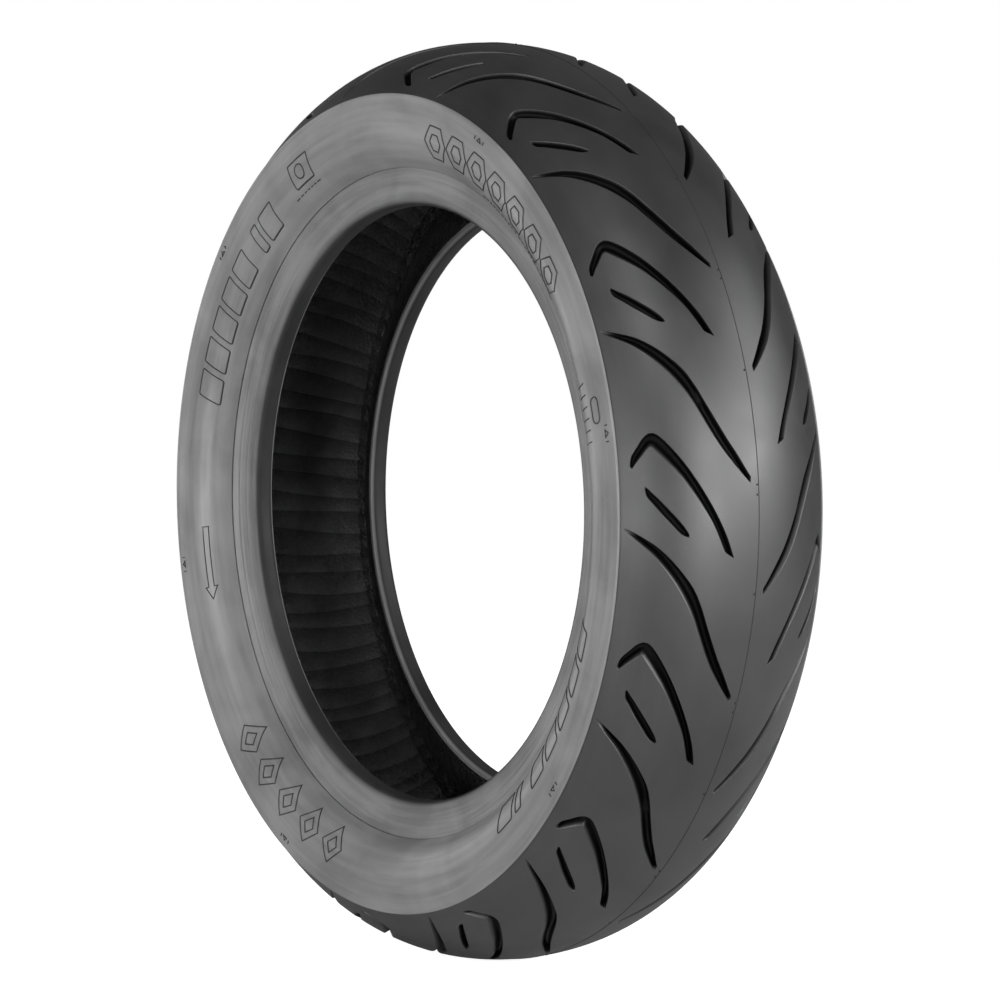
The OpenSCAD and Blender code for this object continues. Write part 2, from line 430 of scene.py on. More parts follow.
def spin_section(name, outline, steps=TURNS):
    """Sweeps a closed outline of (along the axis, radius) about the axis."""
    bpy.ops.object.select_all(action="DESELECT")
    bpy.ops.mesh.primitive_circle_add(vertices=len(outline), radius=0.01)
    obj = bpy.context.object
    obj.name = obj.data.name = name
    for vertex, (y, r) in zip(obj.data.vertices, outline):
        vertex.co = (r / 1000, y / 1000, 0)
    bpy.ops.object.mode_set(mode="EDIT")
    bpy.ops.mesh.select_all(action="SELECT")
    bpy.ops.mesh.spin(steps=steps, angle=math.tau, center=(0, 0, 0), axis=(0, 1, 0))
    bpy.ops.object.mode_set(mode="OBJECT")
    close_up(obj, gap=2e-5)
    return obj


def bend_through(points, spacing):
    """A smooth line of (along the axis, radius) through a few points."""
    p = np.array(points, float)
    gone = gone_along(p)
    even = np.linspace(0, gone[-1], int(gone[-1] / spacing) + 1)
    return smooth_line(p, np.interp(even, gone, np.arange(len(p))))


def smooth_below(obj, degrees):
    """Smooth shading that keeps the edges sharper than this angle."""
    show(obj)
    bpy.ops.object.shade_smooth_by_angle(angle=math.radians(degrees))


def on_side(line, side):
    """The same line for the near (-1) or the far (1) side."""
    return [(side * y, r) for y, r in line]

# %% [markdown]
# A sidewall starts at the shoulder with a fine raised line left by the mould,
# bulges to the widest part of the tyre, and ends at a narrow groove above the
# bead. The inner side lies on the body plies, so it follows the CAD.

# %% The sidewalls
WALL_OUTSIDE = bend_through(
    [(71.25, 241.6), (71.3, 239), (71.45, 235.5), (71.5, 232), (71.4, 228), (71.0, 224),
     (70.4, 221), (69.5, 218), (68.4, 215.3), (67.1, 213), (65.6, 210.4), (63.8, 208),
     (61.4, 205.4), (58.5, 203), (56.6, 201.55), (55.3, 200.55)], 0.9)
WALL_TOP = [(67.75, 240.6), (70.0, 243.0), (70.25, 243.35), (70.6, 243.5), (70.95, 243.3),
            (71.2, 242.8)]
WALL_FOOT = [(54.9, 200.3), (54.45, 200.35), (54.1, 200.6), (53.85, 202.9)]
WALL_INSIDE = [(56.7, 208.5), (60.4, 213.8), (63.0, 218.6), (65.0, 223.8), (66.4, 228.6),
               (67.0, 233.9)]


def make_sidewall(side, name, node):
    """One sidewall: side is -1 for the near one and 1 for the far one."""
    outline = WALL_TOP + [tuple(p) for p in WALL_OUTSIDE] + WALL_FOOT + WALL_INSIDE
    wall = spin_section(name, on_side(outline, side))
    smooth_below(wall, SHARP)
    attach(wall, "root")
    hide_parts(node)
    return wall


walls = [make_sidewall(-1, "sidewall_near", "sidewall_left"),
         make_sidewall(1, "sidewall_far", "sidewall_right")]

# %% [markdown]
# Each bead is covered by a hard cushion that the rim presses on. It has two faint
# rings, a rounded heel, a flat seat and a thin flash line at the toe.

# %% The rim cushions
CUSHION_OUTSIDE = (
    [(53.95, 200.7), (54.1, 200.1), (54.3, 199.75), (54.1, 199.3)]
    + [tuple(p) for p in bend_through([(53.9, 198.9), (53.0, 197.2), (52.2, 195.4)], 0.8)]
    + [(52.3, 194.9), (52.15, 194.4)]
    + [tuple(p) for p in bend_through([(51.75, 193.9), (51.1, 191.6), (50.6, 189.4)], 0.8)]
    + [(50.75, 188.9), (50.6, 188.4)]
    + [tuple(p) for p in bend_through([(50.35, 187.9), (50.15, 185), (49.95, 182.9),
                                       (49.5, 181), (48.6, 179.3), (47.3, 178.2),
                                       (46, 177.85)], 0.7)]
    + [(43.5, 177.8), (41.5, 177.8), (39.9, 177.85), (39.3, 178.1), (38.3, 179.1),
       (37.75, 179.65), (37.45, 179.6), (37.3, 179.9), (37.45, 180.3), (37.55, 182.0)]
)
CUSHION_INSIDE = [(40.0, 182.0), (40.1, 181.3), (41.4, 179.5), (46.5, 179.5), (48.4, 182.2),
                  (48.45, 186), (49.0, 190), (51.0, 197), (53.7, 202.8)]
SEAT_SHADE_FROM = 50.3   # painted shade on the heel and seat starts this far from the middle of the tyre
SEAT_SHADE_FADE = 1.8    # and is full this much further in
TOE_AT = 38.5      # and ends at the toe


def make_cushion(side, name, node):
    """One rim cushion, with an attribute that marks the painted shade on its heel and seat."""
    cushion = spin_section(name, on_side(CUSHION_OUTSIDE + CUSHION_INSIDE, side))
    smooth_below(cushion, SHARP)
    off = np.abs([v.co.y for v in cushion.data.vertices]) * 1000
    # Painted shade: the heel and seat are marked for a darker, duller colour
    seat_shade_share = np.clip((SEAT_SHADE_FROM - off) / SEAT_SHADE_FADE, 0, 1) * (off > TOE_AT)
    seat = cushion.data.attributes.new("seat", "FLOAT", "POINT")
    seat.data.foreach_set("value", seat_shade_share.astype(np.float32))
    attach(cushion, "root")
    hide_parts(node)
    return cushion


cushions = [make_cushion(-1, "cushion_near", "rim_cushion_left"),
            make_cushion(1, "cushion_far", "rim_cushion_right")]

# %% [markdown]
# The inside is lined with airtight rubber. In the press a bladder with fine
# channels pushes against it, so it has thin ridges from bead to bead. The spun
# liner has six columns of points to each ridge, and they are drawn together
# around it and lifted.

# %% The inner liner
RIDGES = 120
COLUMNS = 6
# Where each column of a ridge is drawn to, as a share of the ridge's spacing
DRAWN = np.array([0, 0.05, 0.26, 0.5, -0.26, -0.05])
RIDGE_RISE = 0.85    # height of a ridge, in mm
RIDGE_FROM = 186     # ridges grow from nothing at this radius
RIDGE_FADE = 14      # to their full height this much further out
SIDE_TOP = 234       # below this radius every point is on the inside
SKIN = 0.6           # above it, the inside lies within this much of the line
LINER_LINE = [
    (37.55, 182.05), (38.7, 186), (41.2, 192), (44.4, 198), (47.6, 203), (51.2, 208),
    (55, 213), (58.6, 218), (61.6, 223.5), (63.1, 228.5), (62.2, 232.5), (59.3, 237),
    (54.5, 242), (48.5, 247.2), (41.5, 252), (33.5, 255.6), (24, 258.8), (12, 260.5),
    (0, 261)]
UNDER_TREAD = 8      # the last points of the line, those under the tread
LINER_INSIDE = bend_through(LINER_LINE, 2.6)
LINER_BACK = [(38.9, 182.05), (42.9, 192), (53.0, 208), (63.3, 223.7), (60.2, 238.2),
              (42.0, 253.2), (24.1, 260.0)]


def liner_outline():
    """The liner's closed section: its inside, then its back from bead to bead."""
    half = [tuple(p) for p in LINER_INSIDE]
    inner = half + [(-y, r) for y, r in half[-2::-1]]
    return inner + on_side(LINER_BACK, -1) + [(0, 262.2)] + LINER_BACK[::-1]


def make_liner():
    """The liner, with its ridges lifted and an attribute that marks them for a painted
    highlight.
    """
    liner = spin_section("liner", liner_outline(), steps=RIDGES * COLUMNS)
    co = np.array([v.co for v in liner.data.vertices])
    y, radius = co[:, 1] * 1000, np.hypot(co[:, 0], co[:, 2]) * 1000
    turn = np.arctan2(co[:, 2], co[:, 0]) / math.tau * RIDGES * COLUMNS
    step = np.round(turn).astype(int)
    column, ridge = step % COLUMNS, step // COLUMNS % RIDGES
    inner_skin = np.interp(np.abs(y), *np.array(LINER_LINE[:-UNDER_TREAD - 1:-1]).T)
    facing = (radius < inner_skin + SKIN) | (radius < SIDE_TOP)
    # Each ridge leans and wanders a little, by an amount of its own
    lean = 1.6 * y / 60 + 0.35 * np.sin(ridge * 2.4 + y / 23) + 0.25 * np.sin(ridge * 1.1)
    angle = np.radians((ridge + DRAWN[column]) * 360 / RIDGES + np.where(facing, lean, 0))
    ridge_here = ((column == 0) & facing) * np.clip((radius - RIDGE_FROM) / RIDGE_FADE, 0, 1)
    # Painted highlight: the attribute ridge marks the crests, which the liner's colour makes
    # lighter
    ridge_highlight = liner.data.attributes.new("ridge", "FLOAT", "POINT")
    ridge_highlight.data.foreach_set("value", ridge_here.astype(np.float32))
    lift = RIDGE_RISE * ridge_here * (0.75 + 0.25 * np.sin(ridge * 1.7 + y / 17))
    # On the flanks a ridge rises mostly towards the middle of the tyre
    on_flank = (radius < 240) & (y != 0)
    radius, y = (radius - lift * np.where(on_flank, 0.4, 1),
                 y - lift * np.where(on_flank, 0.7 * np.sign(y), 0))
    moved = np.stack([radius * np.cos(angle), y, radius * np.sin(angle)], 1) / 1000
    liner.data.vertices.foreach_set("co", moved.ravel())
    liner.data.update()
    smooth_below(liner, 24)
    return liner


liner = make_liner()
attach(liner, "root")
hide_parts("inner_liner")

# %% [markdown]
# Where the two halves of the mould meet, a hair-thin line of rubber runs round
# the middle of the tread. Air escapes through small vents there, and each leaves
# a short stub.

# %% The mould line and the vent stubs
LINE_HALF = [(0.1, 276.24), (0.28, 276.05), (0.45, 275.9)]
mould_line = spin_section("mould_line", on_side(LINE_HALF[::-1], -1) + LINE_HALF)
smooth_below(mould_line, 60)
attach(mould_line, "root")

STUB_TURNS = (2.85, 4.0, 17.2)   # places in each repeat, in degrees
STUB_RADIUS = 0.0005
STUB_LENGTH = 0.0012
STUB_ROUND = 0.00016             # radius of its rounded edges
STUB_PLACE = (0.27605, -0.0009, 0)


def make_stub():
    """One vent stub, lying at the middle of the tread on the X side."""
    bpy.ops.object.select_all(action="DESELECT")
    bpy.ops.mesh.primitive_cylinder_add(
        vertices=12, radius=STUB_RADIUS, depth=STUB_LENGTH,
        location=STUB_PLACE, rotation=(0, math.pi / 2, 0))
    stub = bpy.context.object
    bpy.ops.object.transform_apply(location=True, rotation=True, scale=True)
    bevel = stub.modifiers.new("round", "BEVEL")
    bevel.width = STUB_ROUND
    bevel.segments = 2
    bpy.ops.object.modifier_apply(modifier=bevel.name)
    return stub


def repeat_round(obj, turns, name):
    """Copies a piece's mesh to each turn, in degrees, as one new object."""
    co = np.array([v.co for v in obj.data.vertices])
    faces = [list(p.vertices) for p in obj.data.polygons]
    corners, all_faces = [], []
    for n, turn in enumerate(turns):
        c, s = math.cos(math.radians(turn)), math.sin(math.radians(turn))
        corners.append(np.stack([co[:, 0] * c - co[:, 2] * s, co[:, 1],
                                 co[:, 0] * s + co[:, 2] * c], 1))
        all_faces += [[i + n * len(co) for i in face] for face in faces]
    bpy.data.objects.remove(obj)
    return from_lists(name, np.vstack(corners), all_faces)


stub_turns = [360 / REPEATS * k + t for k in range(REPEATS) for t in STUB_TURNS]
stubs = repeat_round(make_stub(), stub_turns, "vent_stubs")
smooth_below(stubs, 50)
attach(stubs, "root")
print("Vent stubs:", len(stub_turns))

# %% [markdown]
# Both sidewalls carry raised outlines. Real tyres have words there; these are
# plain shapes of the same size and place, so nothing is spelt. Each outline is
# a low ridge that follows the bulge of the wall.

# %% Ridges on the sidewall
WALL_BY_HEIGHT = WALL_OUTSIDE[np.argsort(WALL_OUTSIDE[:, 1])]
MARK_RADIUS = 218                                # the shapes' sizes hold here
MARK_DEGREE = math.radians(1) * MARK_RADIUS      # one degree there, in mm
RIDGE_SECTION = ((-0.5, -0.15), (-0.34, 0.22), (-0.14, 0.45), (0.14, 0.45), (0.34, 0.22),
                 (0.5, -0.15))                   # (across, lift), in mm
RIDGE_STEP = 2.0                                 # length of the steps along a ridge


def wall_point(turn, height, lift, side):
    """A point on the sidewall: turn in degrees, height as a radius in mm."""
    heights, offsets = WALL_BY_HEIGHT[:, 1], WALL_BY_HEIGHT[:, 0]
    ahead = 0.5
    y = np.interp(height, heights, offsets)
    slope = (np.interp(height + ahead, heights, offsets) - y) / ahead
    size = np.sqrt(1 + slope**2)
    r, y = height - lift * slope / size, y + lift / size
    t = np.radians(turn)
    return np.stack([r * np.cos(t), side * y, r * np.sin(t)], -1) / 1000


print("One degree at the marks:", round(MARK_DEGREE, 2), "mm")

# %% [markdown]
# A ridge is a small section carried along a path. The path is first broken into
# even steps, so that a long straight side still follows the bulge of the wall.

# %% Carry a section along a path
def even_path(path, closed):
    """A path of (turn, radius) as points in mm, none far from the next."""
    flat = np.array(path, float) * [MARK_DEGREE, 1]
    count = len(flat)
    points = []
    for i in range(count if closed else count - 1):
        a, b = flat[i], flat[(i + 1) % count]
        parts = max(1, int(np.linalg.norm(b - a) / RIDGE_STEP))
        points += [a + (b - a) * u / parts for u in range(parts)]
    if not closed:
        points.append(flat[-1])
    return np.array(points)


def sideways(points, closed):
    """The direction across a path at each point, longer where the path turns."""
    if closed:
        before, after = np.roll(points, 1, axis=0), np.roll(points, -1, axis=0)
    else:
        before = np.vstack([2 * points[0] - points[1], points[:-1]])
        after = np.vstack([points[1:], 2 * points[-1] - points[-2]])
    d1 = (points - before) / np.linalg.norm(points - before, axis=1)[:, None]
    d2 = (after - points) / np.linalg.norm(after - points, axis=1)[:, None]
    mean = d1 + d2
    mean /= np.linalg.norm(mean, axis=1)[:, None]
    reach = 1 / np.maximum(0.5, (mean * d1).sum(axis=1))
    return np.stack([-mean[:, 1], mean[:, 0]], 1) * reach[:, None]


def ridge_line(path, side, width=1.0, closed=True):
    """Corners and faces of one ridge along a path of (turn, radius)."""
    points = even_path(path, closed)
    out = sideways(points, closed)
    rings = [wall_point(*((points + out * across * width) / [MARK_DEGREE, 1]).T, lift, side)
             for across, lift in RIDGE_SECTION]
    corners = np.stack(rings, 1).reshape(-1, 3)
    m, k = len(points), len(RIDGE_SECTION)
    faces = []
    for i in range(m if closed else m - 1):
        j = (i + 1) % m
        faces += [[i * k + q, i * k + (q + 1) % k, j * k + (q + 1) % k, j * k + q]
                  for q in range(k)]
    if not closed:
        faces += [list(range(k))[::-1], [(m - 1) * k + q for q in range(k)]]
    return corners, faces

# %% [markdown]
# Most shapes are one of two outlines, so each of the two has a function.

# %% Outlines
def rounded_box(turn, low, wide, high, lean=0.0, round_by=2.4):
    """Outline of a leaning box with round corners. Sizes in mm, turn in degrees."""
    r = min(round_by, wide / 2.2, high / 2.2)
    points = []
    for cx, cy, start in ((wide - r, r, -90), (wide - r, high - r, 0), (r, high - r, 90),
                          (r, r, 180)):
        for a in range(start, start + 91, 30):
            points.append((cx + r * math.cos(math.radians(a)),
                           cy + r * math.sin(math.radians(a))))
    return [(turn + (x + lean * y) / MARK_DEGREE, low + y) for x, y in points]


def regular_shape(turn, middle, reach, sides):
    """Outline with equal straight sides. Reach in mm from its centre."""
    angles = [math.tau * k / sides for k in range(sides)]
    return [(turn + reach * math.cos(a) / MARK_DEGREE, middle + reach * math.sin(a))
            for a in angles]

# %% [markdown]
# The shapes: two rows of leaning bars, a row of nested diamonds, a row of nested
# hexagons, a square badge, an arrow for the rolling direction, a small barred
# panel, rows of dashes, and short marks at the shoulder that point to the wear
# bars. Each is an outline, the width of its ridge, and whether it closes.

# %% The raised shapes
BAR_WIDTHS = (17, 7, 17, 17, 17, 17, 17)
# First turn, step, radius of the middle, count, sides, outer and inner reach
NESTED_ROWS = ((225.0, 7.5, 217, 5, 4, 11, 5), (37.5, 6.1, 220, 7, 6, 11, 5.5))
ARROW = [(186.0, 211.6), (196.4, 211.6), (196.4, 209.6), (198.6, 213.4),
         (196.4, 217.2), (196.4, 215.2), (186.0, 215.2)]
DASH_ROWS = ((6.0, 28.0, 205.5), (36.0, 62.0, 205.2), (111.0, 119.5, 209.3))
DASH_GAP = 0.55
WEAR_MARK_TURN = 11.5   # from the start of a repeat, in degrees


def large_marks():
    """The bars, the nested shapes, the badge and the arrow."""
    marks = [(rounded_box(first + 5.75 * i, 207.5, wide, 15, -0.25, 1.2), 1.0, True)
             for first in (125.5, 305.5) for i, wide in enumerate(BAR_WIDTHS)]
    for first, step, middle, count, sides, outer, inner in NESTED_ROWS:
        for i in range(count):
            for reach in (outer, inner):
                shape = regular_shape(first + step * i, middle, reach, sides)
                marks.append((shape, 1.0, True))
    marks.append((rounded_box(111.5, 213, 22, 15, -0.1, 1.0), 1.1, True))
    marks.append((rounded_box(113.2, 216.2, 9, 8.6, 0, 4.3), 1.0, True))
    marks.append((ARROW, 0.8, True))
    return marks


def small_marks():
    """The wear marks, the rows of dashes and the barred panel."""
    marks = []
    for k in WEAR_BAR_REPEATS:
        t = 360 / REPEATS * k + WEAR_MARK_TURN
        marks.append(([(t - 0.5, 236.2), (t + 0.5, 236.2), (t, 238.6)], 0.7, True))
        marks += [([(t + off, 236.2), (t + off, 238.4)], 0.7, False) for off in (-1.1, 1.1)]
    for first, last, low in DASH_ROWS:
        turn = first
        while turn < last:
            long = 0.5 + 0.45 * math.sin(turn * 3.1) ** 2
            marks.append(([(turn, low), (turn + long, low)], 0.75, False))
            turn += long + DASH_GAP
    marks += [([(11.0 + 1.7 * i, 212), (11.0 + 1.7 * i, 222)], 0.8, False) for i in range(6)]
    marks.append((rounded_box(13.2, 226.5, 14, 6.5, 0, 3), 0.8, True))
    return marks


def make_marks(side, name):
    """All the raised shapes of one sidewall, as one object."""
    corners, faces, start = [], [], 0
    for path, width, closed in large_marks() + small_marks():
        new, quads = ridge_line(path, side, width, closed)
        corners.append(new)
        faces += [[i + start for i in q] for q in quads]
        start += len(new)
    marks = from_lists(name, np.vstack(corners), faces)
    close_up(marks, gap=1e-7)
    smooth_below(marks, 50)
    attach(marks, "root")
    return marks


raised = [make_marks(-1, "raised_shapes_near"), make_marks(1, "raised_shapes_far")]

# %% [markdown]
# Rubber is never one flat colour. Mould oil leaves clouds, handling rubs some
# places smoother, the turned face of the mould leaves faint rings, and the surface
# has a very fine grain. The helper below builds each of these from a noise of its
# own.

# %% One rubber
CLOUD_ENDS = (0.34, 0.68)   # noise values where the dark and light colours start
RINGS_ROUND = 3.2           # how fast the rings change around the axis
RINGS_ACROSS = 260          # and across it
RUB_SCALE = 3.1             # rubbed places are this much finer than the clouds
GRAIN_RELIEF = 0.0004       # height of the grain, in metres


def rubber(name, dark, light, rough, cloud=14.0, grain=900.0, bump=0.15,
           relief=GRAIN_RELIEF, gloss=0.5, rings=0.0):
    """A rubber with cloudy colour, uneven gloss, fine grain and faint rings."""
    material = bpy.data.materials.new(name)
    material.use_nodes = True
    tree = material.node_tree
    nodes, links = tree.nodes, tree.links
    shader = nodes["Principled BSDF"]
    shader.inputs["Specular IOR Level"].default_value = gloss
    place = nodes.new("ShaderNodeTexCoord")

    def vector(kind, source, other=None):
        n = nodes.new("ShaderNodeVectorMath")
        n.operation = kind
        links.new(source, n.inputs[0])
        if other:
            n.inputs[1].default_value = other
        return n

    def noise(scale, detail, distortion=0.0, at=place.outputs["Object"]):
        n = nodes.new("ShaderNodeTexNoise")
        n.inputs["Scale"].default_value = scale
        n.inputs["Detail"].default_value = detail
        n.inputs["Distortion"].default_value = distortion
        links.new(at, n.inputs["Vector"])
        return n

    clouds = noise(cloud, 6.0, 0.6)
    ramp = nodes.new("ShaderNodeValToRGB")
    for stop, at, colour in zip(ramp.color_ramp.elements, CLOUD_ENDS, (dark, light)):
        stop.position = at
        stop.color = (*colour, 1)
    # Rings: a noise that is long around the axis and short across it
    flat = vector("MULTIPLY", place.outputs["Object"], (1, 0, 1))
    facing = vector("NORMALIZE", flat.outputs["Vector"])
    around = vector("MULTIPLY", facing.outputs["Vector"], (RINGS_ROUND, 0, RINGS_ROUND))
    radius = vector("LENGTH", flat.outputs["Vector"])
    height = nodes.new("ShaderNodeCombineXYZ")
    links.new(radius.outputs["Value"], height.inputs["Y"])
    tall = vector("MULTIPLY", height.outputs["Vector"], (0, RINGS_ACROSS, 0))
    polar = vector("ADD", around.outputs["Vector"])
    links.new(tall.outputs["Vector"], polar.inputs[1])
    streaks = noise(1.0, 5.0, 0.2, polar.outputs["Vector"])
    streaky = nodes.new("ShaderNodeMath")
    streaky.operation = "MULTIPLY_ADD"
    streaky.inputs[1].default_value = rings
    links.new(streaks.outputs["Fac"], streaky.inputs[0])
    lower = nodes.new("ShaderNodeMath")
    lower.operation = "SUBTRACT"
    lower.inputs[1].default_value = rings / 2
    links.new(clouds.outputs["Fac"], lower.inputs[0])
    links.new(lower.outputs["Value"], streaky.inputs[2])
    links.new(streaky.outputs["Value"], ramp.inputs["Fac"])
    links.new(ramp.outputs["Color"], shader.inputs["Base Color"])
    rub = noise(cloud * RUB_SCALE, 4.0, 0.3)
    spread = nodes.new("ShaderNodeMapRange")
    spread.inputs["To Min"].default_value = rough[0]
    spread.inputs["To Max"].default_value = rough[1]
    links.new(rub.outputs["Fac"], spread.inputs["Value"])
    links.new(spread.outputs["Result"], shader.inputs["Roughness"])
    fine = noise(grain, 3.0)
    rise = nodes.new("ShaderNodeBump")
    rise.inputs["Strength"].default_value = bump
    rise.inputs["Distance"].default_value = relief
    links.new(fine.outputs["Fac"], rise.inputs["Height"])
    links.new(rise.outputs["Normal"], shader.inputs["Normal"])
    return material

# %% [markdown]
# Groove floors and the seats of the cushions get painted shade, and the crests of
# the liner's ridges a painted highlight. Their meshes carry an attribute that says
# where, and the colour and the gloss follow it, so no seam shows.

# %% Wear a finish and tint it
def wear(obj, material):
    """Gives a piece one material."""
    obj.data.materials.clear()
    obj.data.materials.append(material)


def tint_by(material, attribute, share, dull=None):
    """Multiplies the colour by share where the attribute is 1, and can dull it."""
    nodes, links = material.node_tree.nodes, material.node_tree.links
    marked = nodes.new("ShaderNodeAttribute")
    marked.attribute_name = attribute
    shade = nodes.new("ShaderNodeMapRange")
    shade.inputs["To Min"].default_value = 1.0
    shade.inputs["To Max"].default_value = share
    links.new(marked.outputs["Fac"], shade.inputs["Value"])
    if dull is not None:
        gloss = nodes["Principled BSDF"].inputs["Specular IOR Level"]
        less = nodes.new("ShaderNodeMapRange")
        less.inputs["To Min"].default_value = gloss.default_value
        less.inputs["To Max"].default_value = dull
        links.new(marked.outputs["Fac"], less.inputs["Value"])
        links.new(less.outputs["Result"], gloss)
    mix = nodes.new("ShaderNodeMix")
    mix.data_type = "RGBA"
    mix.blend_type = "MULTIPLY"
    mix.inputs["Factor"].default_value = 1.0
    ramp = next(n for n in nodes if n.type == "VALTORGB")
    links.new(ramp.outputs["Color"], mix.inputs["A"])
    links.new(shade.outputs["Result"], mix.inputs["B"])
    links.new(mix.outputs["Result"], nodes["Principled BSDF"].inputs["Base Color"])

# %% [markdown]
# Now each piece gets its finish. The tread is nearly black and rather glossy, the
# sidewalls and cushions look grey with mould oil, and the liner is darkest.

# %% The finishes
tread_finish = rubber("tread_rubber", (0.006, 0.006, 0.0065), (0.026, 0.026, 0.0265),
                      (0.36, 0.54), cloud=11, grain=1300, bump=0.16, gloss=1.1, rings=0.25)
wall_finish = rubber("sidewall_rubber", (0.165, 0.164, 0.164), (0.255, 0.255, 0.256),
                     (0.32, 0.50), cloud=16, grain=1100, bump=0.16, gloss=0.6, rings=0.6)
cushion_finish = rubber("cushion_rubber", (0.140, 0.140, 0.141), (0.225, 0.225, 0.226),
                        (0.42, 0.56), cloud=18, grain=1300, bump=0.16, gloss=0.55, rings=0.8)
liner_finish = rubber("liner_rubber", (0.002, 0.002, 0.0022), (0.006, 0.006, 0.0063),
                      (0.24, 0.38), cloud=35, grain=520, bump=1.0, relief=0.0032, gloss=0.85)
# Painted shade: groove floors darken with depth and lose most of their gloss
tint_by(tread_finish, "sunk", 0.1, dull=0.12)
# Painted highlight: the crests of the liner's ridges are made far lighter
tint_by(liner_finish, "ridge", 16.0)
# Painted shade: the heel and seat of each cushion are made darker and duller
tint_by(cushion_finish, "seat", 0.16, dull=0.25)
stub_finish = rubber("stub_rubber", (0.016, 0.016, 0.017), (0.026, 0.026, 0.027),
                     (0.45, 0.6), cloud=11, grain=1500, bump=0.1)
# Painted shade: the raised shapes are far darker than the wall, standing in for the shade along
# their edges
raised_shade_finish = rubber("raised_shaded_rubber", (0.018, 0.018, 0.019), (0.032, 0.032, 0.033),
                       (0.42, 0.56), cloud=16, grain=1100, bump=0.12)
wear(tread, tread_finish)
for obj in [mould_line, stubs]:
    wear(obj, stub_finish)
for obj in walls:
    wear(obj, wall_finish)
for obj in raised:
    wear(obj, raised_shade_finish)
for obj in cushions:
    wear(obj, cushion_finish)
wear(liner, liner_finish)
print("Finishes:", [material.name for material in bpy.data.materials])

# %% [markdown]
# The hidden layers keep their CAD shape. Plies and breakers are woven or laid
# cords in rubber, and the bead wires are drawn steel with a bronze skin.

# %% Hidden layers
def corded(name, cord, gum, per_metre, lean):
    """Rubber with cords that show through as fine stripes."""
    material = rubber(name, gum, gum, (0.55, 0.7), grain=700)
    nodes, links = material.node_tree.nodes, material.node_tree.links
    stripes = nodes.new("ShaderNodeTexWave")
    stripes.inputs["Scale"].default_value = per_metre
    stripes.inputs["Distortion"].default_value = 0.4
    turn = nodes.new("ShaderNodeMapping")
    turn.inputs["Rotation"].default_value = (0, 0, math.radians(lean))
    place = next(n for n in nodes if n.type == "TEX_COORD")
    links.new(place.outputs["Object"], turn.inputs["Vector"])
    links.new(turn.outputs["Vector"], stripes.inputs["Vector"])
    mix = nodes.new("ShaderNodeMix")
    mix.data_type = "RGBA"
    mix.inputs["A"].default_value = (*gum, 1)
    mix.inputs["B"].default_value = (*cord, 1)
    links.new(stripes.outputs["Fac"], mix.inputs["Factor"])
    links.new(mix.outputs["Result"], nodes["Principled BSDF"].inputs["Base Color"])
    return material


hidden = {
    "tread_base": rubber("base_rubber", (0.02, 0.02, 0.021), (0.03, 0.03, 0.031), (0.5, 0.65)),
    "wedge": rubber("wedge_rubber", (0.022, 0.022, 0.022), (0.032, 0.032, 0.033), (0.5, 0.65)),
    "filler": rubber("filler_rubber", (0.03, 0.027, 0.024), (0.042, 0.038, 0.034), (0.5, 0.65)),
    "wrap": rubber("wrap_rubber", (0.016, 0.016, 0.017), (0.026, 0.026, 0.027), (0.5, 0.65)),
    "breaker": corded("breaker_cord", (0.30, 0.22, 0.10), (0.05, 0.04, 0.03), 220, 28),
    "ply": corded("ply_cord", (0.46, 0.38, 0.22), (0.06, 0.05, 0.04), 260, -42),
    "core": rubber("bead_wire", (0.45, 0.33, 0.16), (0.62, 0.48, 0.26), (0.22, 0.34), cloud=60),
}
hidden["core"].node_tree.nodes["Principled BSDF"].inputs["Metallic"].default_value = 1.0
for name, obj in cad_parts.items():
    key = next((k for k in hidden if k in name), None)
    if key:
        wear(obj, hidden[key])
finished = [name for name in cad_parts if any(k in name for k in hidden)]
print("CAD nodes given a finish:", len(finished))

# %% [markdown]
# A pale floor, as in a product studio. It glows only as the camera sees it, so
# the ground stays white and the glow adds no light. The floor still bounces some
# of the lamps' light up onto the tyre, as a real one does.

# %% Floor
FLOOR_SIZE = 12
FLOOR_LEVEL = -0.2763
TABLE_SHINE = 0.9
bpy.ops.object.select_all(action="DESELECT")
bpy.ops.mesh.primitive_plane_add(size=FLOOR_SIZE, location=(0, 0, FLOOR_LEVEL))
floor = bpy.context.object
floor.name = "floor"
bpy.ops.object.transform_apply(location=True, rotation=True, scale=True)
paper = bpy.data.materials.new("studio_floor")
paper.use_nodes = True
tree = paper.node_tree
sheet = tree.nodes["Principled BSDF"]
sheet.inputs["Base Color"].default_value = (0.9, 0.9, 0.9, 1)
sheet.inputs["Roughness"].default_value = 0.9
sheet.inputs["Specular IOR Level"].default_value = 0.0
sheet.inputs["Emission Color"].default_value = (1, 1, 1, 1)
straight = tree.nodes.new("ShaderNodeLightPath")
shine = tree.nodes.new("ShaderNodeMath")
shine.operation = "MULTIPLY"
shine.inputs[1].default_value = TABLE_SHINE
tree.links.new(straight.outputs["Is Camera Ray"], shine.inputs[0])
tree.links.new(shine.outputs["Value"], sheet.inputs["Emission Strength"])
wear(floor, paper)
print("Floor at", FLOOR_LEVEL, "m")

# %% [markdown]
# The room gives a weak, even light. The camera alone sees it as plain white, so
# the backdrop is clean while the rubber keeps its deep shadows.

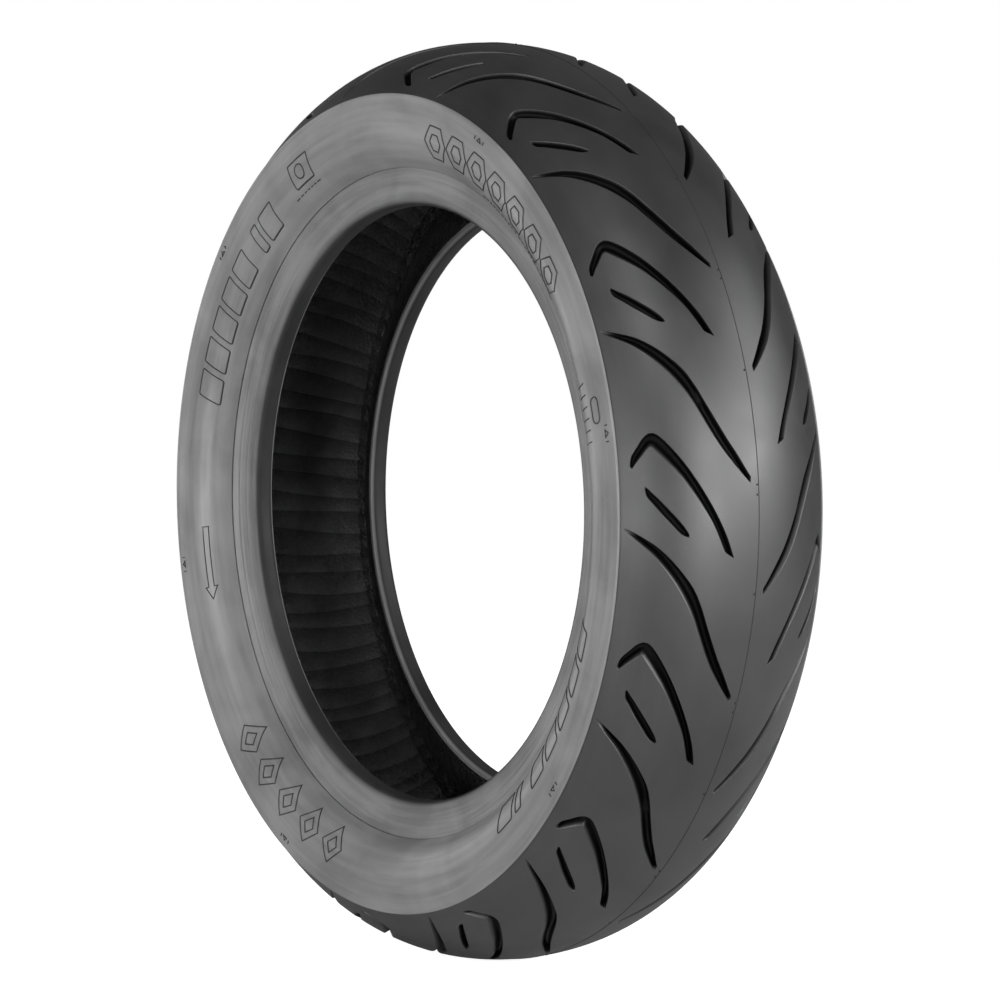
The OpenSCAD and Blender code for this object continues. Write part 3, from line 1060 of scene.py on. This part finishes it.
# %% Room
ROOM_LIGHT = 0.13
world = bpy.data.worlds.new("studio")
bpy.context.scene.world = world
world.use_nodes = True
room = world.node_tree
glow = room.nodes["Background"]
backdrop = room.nodes.new("ShaderNodeBackground")
for light, strength in ((glow, ROOM_LIGHT), (backdrop, 1.0)):
    light.inputs["Color"].default_value = (1, 1, 1, 1)
    light.inputs["Strength"].default_value = strength
seen = room.nodes.new("ShaderNodeLightPath")
pick = room.nodes.new("ShaderNodeMixShader")
room.links.new(seen.outputs["Is Camera Ray"], pick.inputs["Fac"])
room.links.new(glow.outputs["Background"], pick.inputs[1])
room.links.new(backdrop.outputs["Background"], pick.inputs[2])
room.links.new(pick.outputs["Shader"], room.nodes["World Output"].inputs["Surface"])
print("Room light:", ROOM_LIGHT)

# %% [markdown]
# Seven round lamps stand at one distance from the tyre and face its middle. Two
# on the tread's side draw a wide sheen down it, one lights it from higher up,
# three stand low around the near sidewall, and one shines into the opening.

# %% Lamps
LAMP_DISTANCE = 2.6
LAMPS = (  # turn from the X axis and rise in degrees, width in metres, watts
    ("tread_lamp", 0, 6, 1.1, 26),
    ("tread_lamp_2", 32, 12, 0.8, 21),
    ("sky_lamp", 50, 30, 1.1, 10),
    ("wall_lamp", 262, 3, 0.8, 24),
    ("back_lamp", 190, 4, 1.6, 12),
    ("front_lamp", 304, 2, 0.6, 11),
    ("inside_lamp", 325, 42, 0.9, 11),
)


def soft_lamp(name, turn, rise, width, power):
    """A round soft lamp that faces the middle of the tyre."""
    lamp = bpy.data.lights.new(name, "AREA")
    lamp.shape = "DISK"
    lamp.size = width
    lamp.energy = power
    obj = bpy.data.objects.new(name, lamp)
    bpy.context.collection.objects.link(obj)
    a, e = math.radians(turn), math.radians(rise)
    away = Vector((math.cos(e) * math.cos(a), math.cos(e) * math.sin(a), math.sin(e)))
    obj.location = away * LAMP_DISTANCE
    obj.rotation_euler = (-away).to_track_quat("-Z", "Y").to_euler()


for lamp in LAMPS:
    soft_lamp(*lamp)
print("Lamps:", len(LAMPS))

# %% [markdown]
# The camera looks slightly down at the tyre, turned so that both the tread and
# the opening show. A long lens keeps the round shape even.

# %% Camera
CAMERA_TURN = math.radians(55.765)
CAMERA_RISE = math.radians(2.491)
CAMERA_DISTANCE = 2.3314
CAMERA_ASIDE = 0.01369    # how far the camera stands right of the tyre's middle
CAMERA_ABOVE = 0.000859   # and above it
CAMERA_LENS = 138.69
SENSOR_WIDTH = 36
FARTHEST_SEEN = 50


def make_camera():
    """The camera, set back from the tyre along the direction it looks."""
    a, e = CAMERA_TURN, CAMERA_RISE
    back = Vector((math.sin(a) * math.cos(e), -math.cos(a) * math.cos(e), math.sin(e)))
    right = Vector((math.cos(a), math.sin(a), 0))
    up = back.cross(right)
    camera = bpy.data.objects.new("camera", bpy.data.cameras.new("camera"))
    bpy.context.collection.objects.link(camera)
    camera.data.lens = CAMERA_LENS
    camera.data.sensor_width = SENSOR_WIDTH
    camera.data.clip_end = FARTHEST_SEEN
    place = right * CAMERA_ASIDE + up * CAMERA_ABOVE + back * CAMERA_DISTANCE
    turn = Matrix((right, up, back)).transposed().to_4x4()
    camera.matrix_world = Matrix.Translation(place) @ turn
    bpy.context.scene.camera = camera
    return camera


camera = make_camera()
bpy.context.scene.view_settings.view_transform = "Standard"
print("Camera at", [round(v, 3) for v in camera.location])
